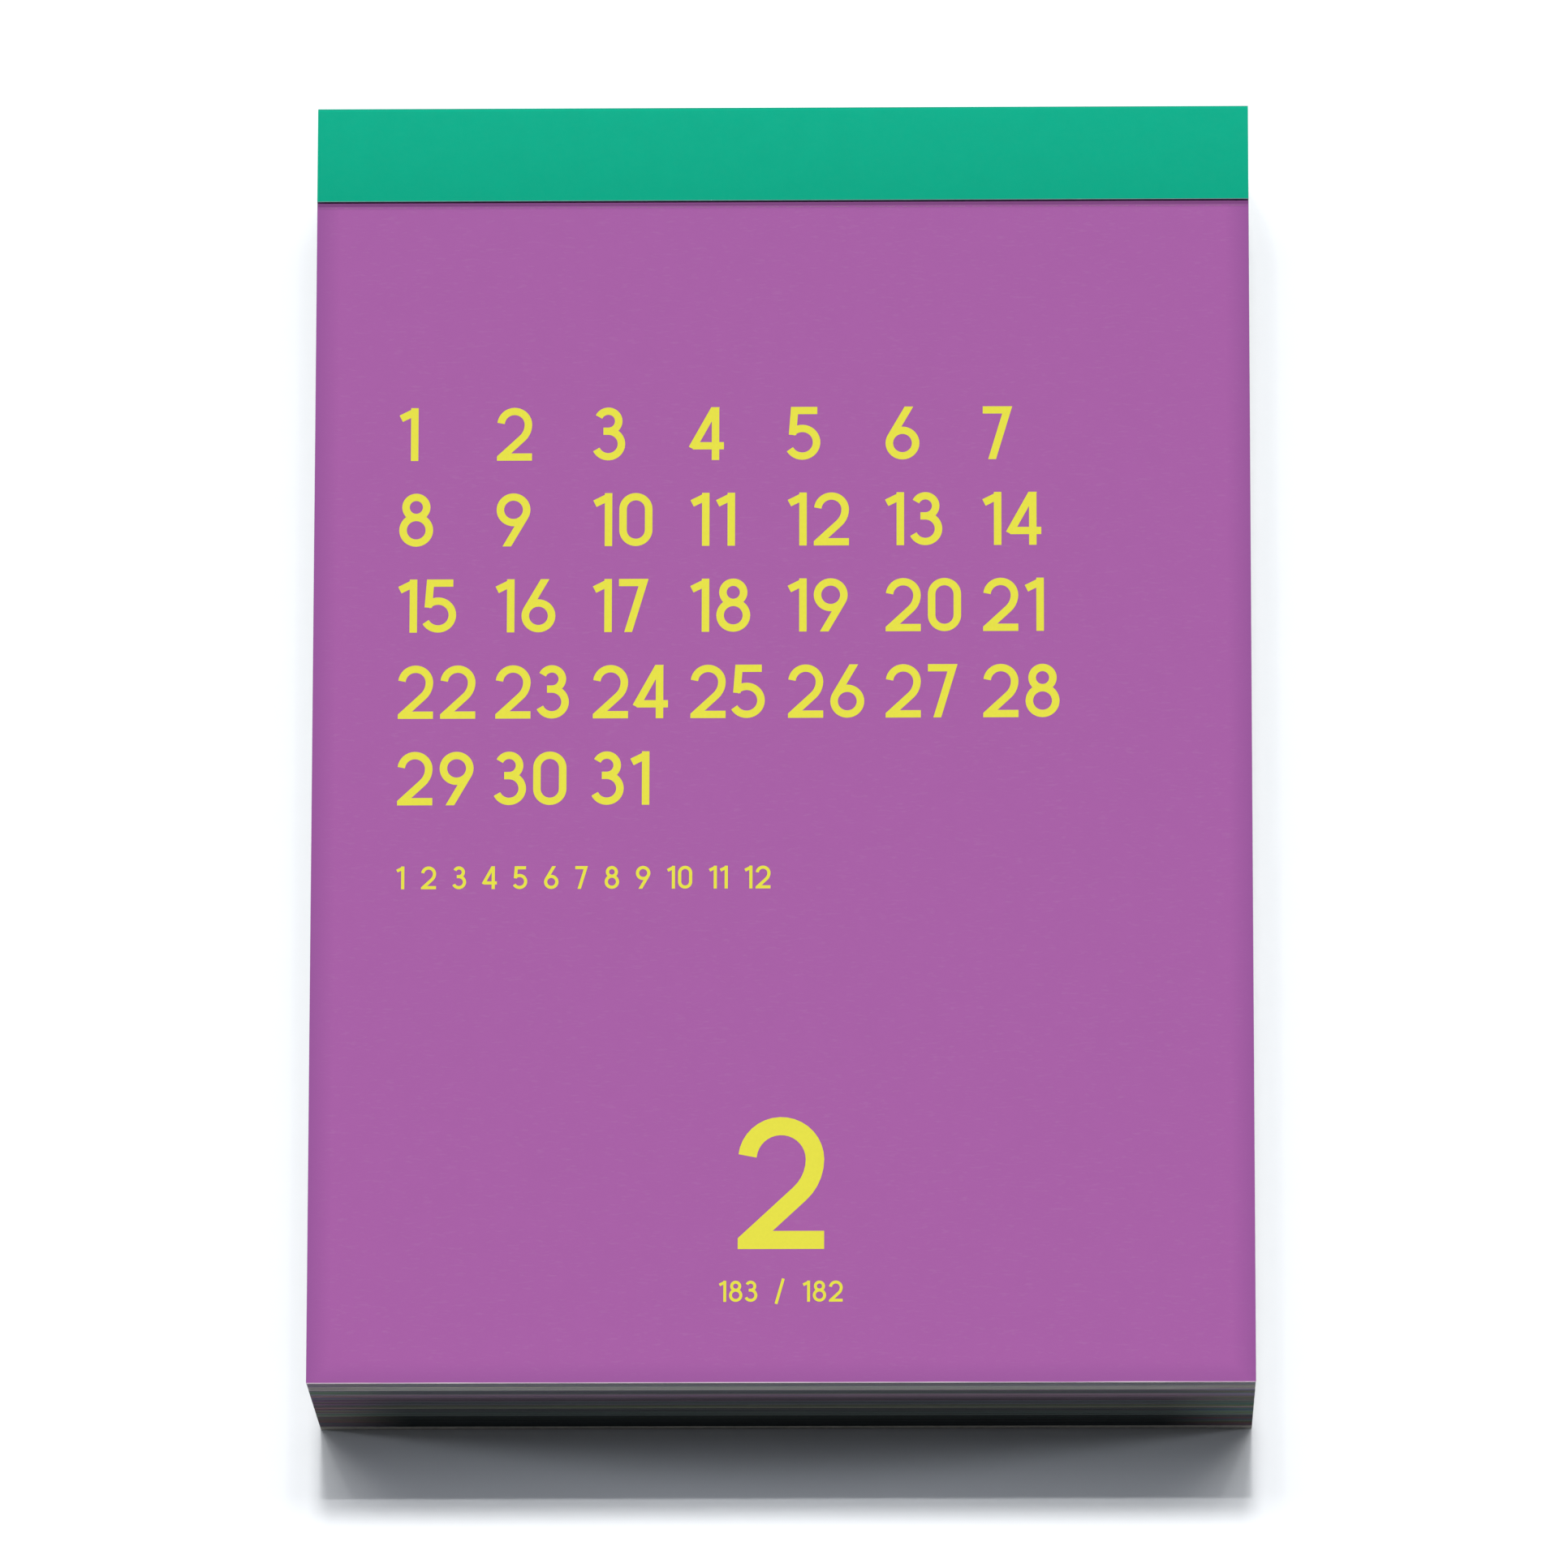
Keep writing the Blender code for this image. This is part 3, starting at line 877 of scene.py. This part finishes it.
class CALENDAR_OT_front_pile(bpy.types.Operator):
    """Stack the leaves of the front pile, with rows cut along the band where it bends when it lifts"""

    bl_idname = "calendar.front_pile"
    bl_label = "Front pile"

    def execute(self, context):
        paper = context.scene.calendar_paper
        node = pile_name(1)
        bend_rows = 12
        rows = [BAND_EDGE_Y - paper.bend * step / bend_rows for step in range(1, bend_rows + 1)]
        pile = stack_leaves(f"{node}_leaves", 1, FOOT_Y + paper.trim, BAND_EDGE_Y, rows)
        print_first_leaf(pile, "coral")
        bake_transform(pile)
        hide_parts(node)
        stub = stack_leaves(f"{node}_bound_leaves", 1, BAND_EDGE_Y, LEAF_HEAD_Y)
        print_first_leaf(stub, "coral")
        settle(stub, "bound_block", "book_paper", f"{node}_stub")
        return {"FINISHED"}


class CALENDAR_OT_single_leaves(bpy.types.Operator):
    """Model the two leaves in front of the piles, each with its perforation"""

    bl_idname = "calendar.single_leaves"
    bl_label = "Single leaves"

    def execute(self, context):
        model_single_leaf("second_leaf", "teal", "teal_printed_paper")
        model_single_leaf("top_leaf", "violet", "violet_printed_paper")
        return {"FINISHED"}


def on_circle(x, y, radius, degrees):
    """The point of a circle at an angle."""
    turn = math.radians(degrees)
    return (x + radius * math.cos(turn), y + radius * math.sin(turn))


def draw_stroke(pen, start, moves, trims=()):
    """Draw a stroke of a figure one unit high: lines to a point, and arcs about a centre, clockwise."""
    stroke = add_new(bpy.ops.mesh.primitive_plane_add, size=0.1, location=(*start, 0))
    edit()
    bpy.ops.mesh.merge(type="CENTER")
    place = Vector((*start, 0))
    for kind, x, y, *degrees in moves:
        target = Vector((x, y, 0))
        if kind == "line":
            bpy.ops.mesh.extrude_vertices_move(TRANSFORM_OT_translate={"value": target - place})
            place = target
        else:
            turn = math.radians(degrees[0])
            steps = max(2, round(degrees[0] / ARC_STEP))
            bpy.ops.mesh.spin(steps=steps, angle=turn, center=target, axis=(0, 0, 1))
            arm = place - target
            place = target + Vector((
                arm.x * math.cos(turn) + arm.y * math.sin(turn),
                arm.y * math.cos(turn) - arm.x * math.sin(turn),
                0,
            ))
    return ink_stroke(stroke, pen, trims)


def draw_ring(pen, x, y, radius):
    """Draw a ring of a figure."""
    place = (x, y, 0)
    count = 360 // ARC_STEP
    ring = add_new(bpy.ops.mesh.primitive_circle_add, vertices=count, radius=radius, location=place)
    edit()
    return ink_stroke(ring, pen, ())


def ink_stroke(stroke, pen, trims):
    """Give a stroke's centre line its height and the pen's width, and trim its ends."""
    bpy.ops.mesh.select_all(action="SELECT")
    bpy.ops.mesh.remove_doubles(threshold=0.0001)
    bpy.ops.mesh.extrude_edges_move(TRANSFORM_OT_translate={"value": (0, 0, MODEL_INK)})
    leave_edit()
    bpy.ops.object.transform_apply(location=True, rotation=True, scale=True)
    use_modifier(stroke, "SOLIDIFY", thickness=pen, offset=0.0, use_even_offset=True)
    edit()
    for point, normal in trims:
        bpy.ops.mesh.select_all(action="SELECT")
        bpy.ops.mesh.bisect(plane_co=point, plane_no=normal, use_fill=True, clear_outer=True)
    bpy.ops.mesh.select_all(action="SELECT")
    bpy.ops.mesh.normals_make_consistent(inside=False)
    leave_edit()
    return stroke


def draw_figure(figure, pen):
    """Model one figure, one unit high, from rings and strokes of a pen with a constant width."""
    low = pen / 2
    high = 1 - pen / 2
    small = 0.19
    large = (high - low) / 2 - small
    upper_y = high - small
    lower_y = low + large
    waist = lower_y + large
    side = low + large
    rings = []
    strokes = []
    if figure == "0":
        bow = 0.235
        strokes = [((low, low + bow), [
            ("line", low, high - bow),
            ("arc", low + bow, high - bow, 180),
            ("line", low + 2 * bow, low + bow),
            ("arc", low + bow, low + bow, 180),
        ])]
    elif figure == "1":
        strokes = [((0.27, 0), [("line", 0.27, 1)]), ((0.02, 0.80), [("line", 0.27, 0.925)])]
    elif figure == "2":
        right = 0.643
        bowl = 0.252
        sweep = 0.3565
        diagonal = 47
        bowl_x = right - low - bowl
        bowl_y = high - bowl
        sweep_x = bowl_x + bowl - sweep
        end = on_circle(*on_circle(sweep_x, bowl_y, sweep, -diagonal), 0.75, 270 - diagonal)
        moves = [("arc", bowl_x, bowl_y, 174), ("arc", sweep_x, bowl_y, diagonal), ("line", *end)]
        strokes = [
            ((low, low), [("line", right, low)]),
            (on_circle(bowl_x, bowl_y, bowl, 174), moves, (FOOT_TRIM, LEFT_TRIM)),
        ]
    elif figure == "3":
        bowl_x = side - 0.05
        strokes = [
            (on_circle(bowl_x, upper_y, small, 155), [("arc", bowl_x, upper_y, 245)]),
            ((side - 0.14, waist), [("line", side - 0.04, waist)]),
            ((bowl_x, waist), [("arc", bowl_x, lower_y, 245)]),
        ]
    elif figure == "4":
        bar_y = 0.27
        bar_trim = ((0, bar_y - low, 0), (0, -1, 0))
        strokes = [
            ((0.445, 0), [("line", 0.445, 1)]),
            ((0.03, bar_y), [("line", 0.60, bar_y)]),
            ((0.015, bar_y - 0.05), [("line", 0.472, 1.05)], (HEAD_TRIM, bar_trim)),
        ]
    elif figure == "5":
        bowl = 0.262
        bowl_x = 0.255
        bowl_y = low + bowl
        strokes = [
            ((0.10, high), [("line", 0.53, high)]),
            ((0.119, 1.03), [("line", 0.075, 0.47)], (HEAD_TRIM,)),
            (on_circle(bowl_x, bowl_y, bowl, 138), [("arc", bowl_x, bowl_y, 288)]),
        ]
    elif figure in "69":
        tail = [on_circle(side, lower_y, large, 150), (0.458, 1.05)]
        trim = HEAD_TRIM
        ring_y = lower_y
        if figure == "9":
            tail = [(2 * side - x, 1 - y) for x, y in tail]
            trim = FOOT_TRIM
            ring_y = 1 - lower_y
        rings = [(side, ring_y, large)]
        strokes = [(tail[0], [("line", *tail[1])], (trim,))]
    elif figure == "7":
        strokes = [
            ((0, high), [("line", 0.49, high)]),
            ((0.485, 1.05), [("line", 0.155, -0.05)], (HEAD_TRIM, FOOT_TRIM)),
        ]
    elif figure == "8":
        rings = [(side, upper_y, small), (side, lower_y, large)]
    else:
        strokes = [((0.03, -0.1), [("line", 0.37, 1.1)])]
    drawn = [draw_ring(pen, *ring) for ring in rings]
    drawn += [draw_stroke(pen, *stroke) for stroke in strokes]
    glyph, *others = drawn
    for other in others:
        use_modifier(glyph, "BOOLEAN", operation="UNION", object=other)
        bpy.data.objects.remove(other)
    face_outwards(glyph)
    return glyph


def figure_width(glyph):
    """The width of a figure that is one unit high."""
    return max(vertex.co.x for vertex in glyph.data.vertices)


def text_width(text, height, glyphs):
    """The width of a number set at a height."""
    gap = bpy.context.scene.calendar_print.figure_gap
    return height * (sum(figure_width(glyphs[figure]) for figure in text) + gap * (len(text) - 1))


def set_number(text, x, y, height, level, glyphs):
    """Copy the figures of a number to their places, and give back the copies."""
    sizes = bpy.context.scene.calendar_print
    copies = []
    for figure in text:
        copy = glyphs[figure].copy()
        copy.data = glyphs[figure].data.copy()
        bpy.context.scene.collection.objects.link(copy)
        copy.scale = (height, height, sizes.ink / MODEL_INK)
        copy.location = (x, y, level)
        x += height * (figure_width(glyphs[figure]) + sizes.figure_gap)
        copies.append(copy)
    return copies


def set_line(numbers, x, y, height, width, level, glyphs):
    """Set numbers on a line of a width, with even gaps between them."""
    typed = sum(text_width(number, height, glyphs) for number in numbers)
    gap = (width - typed) / (len(numbers) - 1)
    copies = []
    for number in numbers:
        copies += set_number(number, x, y, height, level, glyphs)
        x += text_width(number, height, glyphs) + gap
    return copies


def join_print(name, copies, ink, body, slot):
    """Join figures into one piece of print on a leaf."""
    bpy.ops.object.select_all(action="DESELECT")
    for copy in copies:
        copy.select_set(True)
    bpy.context.view_layer.objects.active = copies[0]
    bpy.ops.object.transform_apply(location=True, rotation=True, scale=True)
    bpy.ops.object.join()
    piece = bpy.context.active_object
    piece.name = piece.data.name = name
    piece.data.materials.clear()
    piece.data.materials.append(ink)
    settle(piece, body, slot)


def print_leaf(name, day, count, sheet, ink, body, slot, glyphs):
    """Print a leaf: the days of its month, the months, the day's number, and the day count."""
    sizes = bpy.context.scene.calendar_print
    level = top_of(bpy.data.objects[sheet])
    left = -HALF_WIDTH + sizes.grid_left
    days = []
    for number in range(1, 32):
        row, column = divmod(number - 1, 7)
        x = left + column * sizes.grid_column
        y = HEAD_Y - sizes.grid_head - sizes.grid_height - row * sizes.grid_row
        days += set_number(str(number), x, y, sizes.grid_height, level, glyphs)
    join_print(f"{name}_month_days", days, ink, body, slot)

    numbers = [str(number) for number in range(1, 13)]
    y = FOOT_Y + sizes.row_foot
    months = set_line(numbers, left, y, sizes.row_height, sizes.row_width, level, glyphs)
    join_print(f"{name}_months", months, ink, body, slot)

    x = -text_width(day, sizes.day_height, glyphs) / 2
    day_number = set_number(day, x, FOOT_Y + sizes.day_foot, sizes.day_height, level, glyphs)
    join_print(f"{name}_day_number", day_number, ink, body, slot)

    numbers = [count[0], "/", count[1]]
    x = -sizes.count_width / 2
    y = FOOT_Y + sizes.count_foot
    day_count = set_line(numbers, x, y, sizes.count_height, sizes.count_width, level, glyphs)
    join_print(f"{name}_day_count", day_count, ink, body, slot)


class CALENDAR_OT_numbers(bpy.types.Operator):
    """Model the figures once, and print them on the leaves that can be seen"""

    bl_idname = "calendar.numbers"
    bl_label = "Numbers"

    def execute(self, context):
        pen = context.scene.calendar_print.pen
        glyphs = {figure: draw_figure(figure, pen) for figure in "0123456789/"}
        yellow = find_material("yellow_offset_ink", make_ink, hue("yellow"))
        cream = find_material("cream_offset_ink", make_ink, hue("cream"))
        violet_paper = "violet_printed_paper"
        teal_paper = "teal_printed_paper"
        prints = (
            ("top_leaf", "2", ("183", "182"), "top_leaf_sheet", yellow, "top_leaf", violet_paper),
            ("second_leaf", "3", ("184", "181"), "second_leaf_sheet", cream, "second_leaf", teal_paper),
            ("third_leaf", "4", ("185", "180"), "leaf_pile_01_leaves", cream, "front_pile", "book_paper"),
            ("later_leaf", "29", ("210", "155"), "leaf_pile_02_leaves", cream, "bound_block", "book_paper"),
        )
        for leaf in prints:
            print_leaf(*leaf, glyphs)
        for glyph in glyphs.values():
            bpy.data.objects.remove(glyph)
        return {"FINISHED"}


def slope(degrees):
    """How far a direction leans for one unit along the other axis."""
    return math.tan(math.radians(degrees))


def add_sun(name, source, angle, amount, lit, white):
    """A soft light from far away at source, by the share of light that it gives a surface facing lit."""
    source = Vector(source).normalized()
    turn = source.to_track_quat("Z", "Y").to_euler()
    sun = add_new(bpy.ops.object.light_add, type="SUN", location=source, rotation=turn)
    sun.name = sun.data.name = name
    sun.data.angle = math.radians(angle)
    sun.data.energy = amount * math.pi / source.dot(Vector(lit))
    sun.data.color = white


class CALENDAR_OT_stage(bpy.types.Operator):
    """Lay the floor, and set the lights and the camera"""

    bl_idname = "calendar.stage"
    bl_label = "Stage"

    def execute(self, context):
        scene = context.scene
        light = scene.calendar_light
        floor = add_plane("studio_floor", (-FLOOR_REACH, -FLOOR_REACH), (FLOOR_REACH, FLOOR_REACH), 0)
        finish(floor, "white_studio_paper", make_studio_floor)

        up = (0, 0, 1)
        rows = (("key", KEY_TILT, KEY_ANGLE, light.key), ("step", STEP_TILT, STEP_ANGLE, light.step))
        for aside, part in LIGHT_ROW:
            for tilt in (-aside, aside) if aside else (0,):
                for kind, to_head, angle, amount in rows:
                    source = (slope(tilt), slope(to_head), 1)
                    add_sun(f"{kind}_light_{tilt}", source, angle, amount * part, up, ROW_WHITE)
        source = (0, slope(OVERHEAD_TILT), 1)
        add_sun("overhead_light", source, OVERHEAD_ANGLE, light.overhead, up, COOL_WHITE)
        for side in (-1, 1):
            source = (side, 0.12, slope(FLANK_HEIGHT))
            add_sun(f"flank_light_{side}", source, FLANK_ANGLE, light.flank, (side, 0, 0), COOL_WHITE)

        world = bpy.data.worlds.new("studio_room")
        scene.world = world
        world.use_nodes = True
        world.node_tree.nodes.clear()
        seen = add_node(world, "LightPath").outputs["Is Camera Ray"]
        room = add_node(world, "Background", {0: (*COOL_WHITE, 1), 1: light.room})
        backdrop = add_node(world, "Background", {0: (1, 1, 1, 1), 1: 1.0})
        add_node(world, "OutputWorld", {0: add_node(world, "MixShader", {0: seen, 1: room, 2: backdrop})})
        scene.view_settings.view_transform = "Standard"

        turn = [math.radians(angle) for angle in CAMERA_TURN]
        camera = add_new(bpy.ops.object.camera_add, location=CAMERA_PLACE, rotation=turn)
        camera.name = "photo_view"
        camera.data.sensor_width = CAMERA_SENSOR
        camera.data.lens = CAMERA_LENS
        scene.camera = camera
        return {"FINISHED"}


class CALENDAR_PT_looks(bpy.types.Panel):
    """The sidebar's list of pieces, sizes and colours"""

    bl_idname = "CALENDAR_PT_looks"
    bl_label = "Tear-off calendar"
    bl_space_type = "VIEW_3D"
    bl_region_type = "UI"
    bl_category = "Calendar"

    def draw(self, context):
        for operator in OPERATORS:
            self.layout.operator(operator.bl_idname)
        for attribute in GROUPS:
            box = self.layout.box()
            group = getattr(context.scene, attribute)
            for name in group.__annotations__:
                box.prop(group, name)


GROUPS = {
    "calendar_paper": CalendarPaper,
    "calendar_card": CalendarCard,
    "calendar_print": CalendarPrint,
    "calendar_colours": CalendarColours,
    "calendar_light": CalendarLight,
}

OPERATORS = (
    CALENDAR_OT_back_board,
    CALENDAR_OT_header_band,
    CALENDAR_OT_head_glue,
    CALENDAR_OT_leaf_piles,
    CALENDAR_OT_front_pile,
    CALENDAR_OT_single_leaves,
    CALENDAR_OT_numbers,
    CALENDAR_OT_stage,
)

CLASSES = (*GROUPS.values(), *OPERATORS, CALENDAR_PT_looks)


def register():
    """Register the groups, the operators and the panel."""
    for kind in CLASSES:
        bpy.utils.register_class(kind)
    for attribute, group in GROUPS.items():
        setattr(bpy.types.Scene, attribute, bpy.props.PointerProperty(type=group))


def unregister():
    """Take the groups, the operators and the panel out again."""
    for attribute in GROUPS:
        delattr(bpy.types.Scene, attribute)
    for kind in reversed(CLASSES):
        bpy.utils.unregister_class(kind)


def main():
    """Build every piece and the stage."""
    register()
    bpy.ops.calendar.back_board()
    bpy.ops.calendar.header_band()
    bpy.ops.calendar.head_glue()
    bpy.ops.calendar.leaf_piles()
    bpy.ops.calendar.front_pile()
    bpy.ops.calendar.single_leaves()
    bpy.ops.calendar.numbers()
    bpy.ops.calendar.stage()


if __name__ == "__main__":
    main()
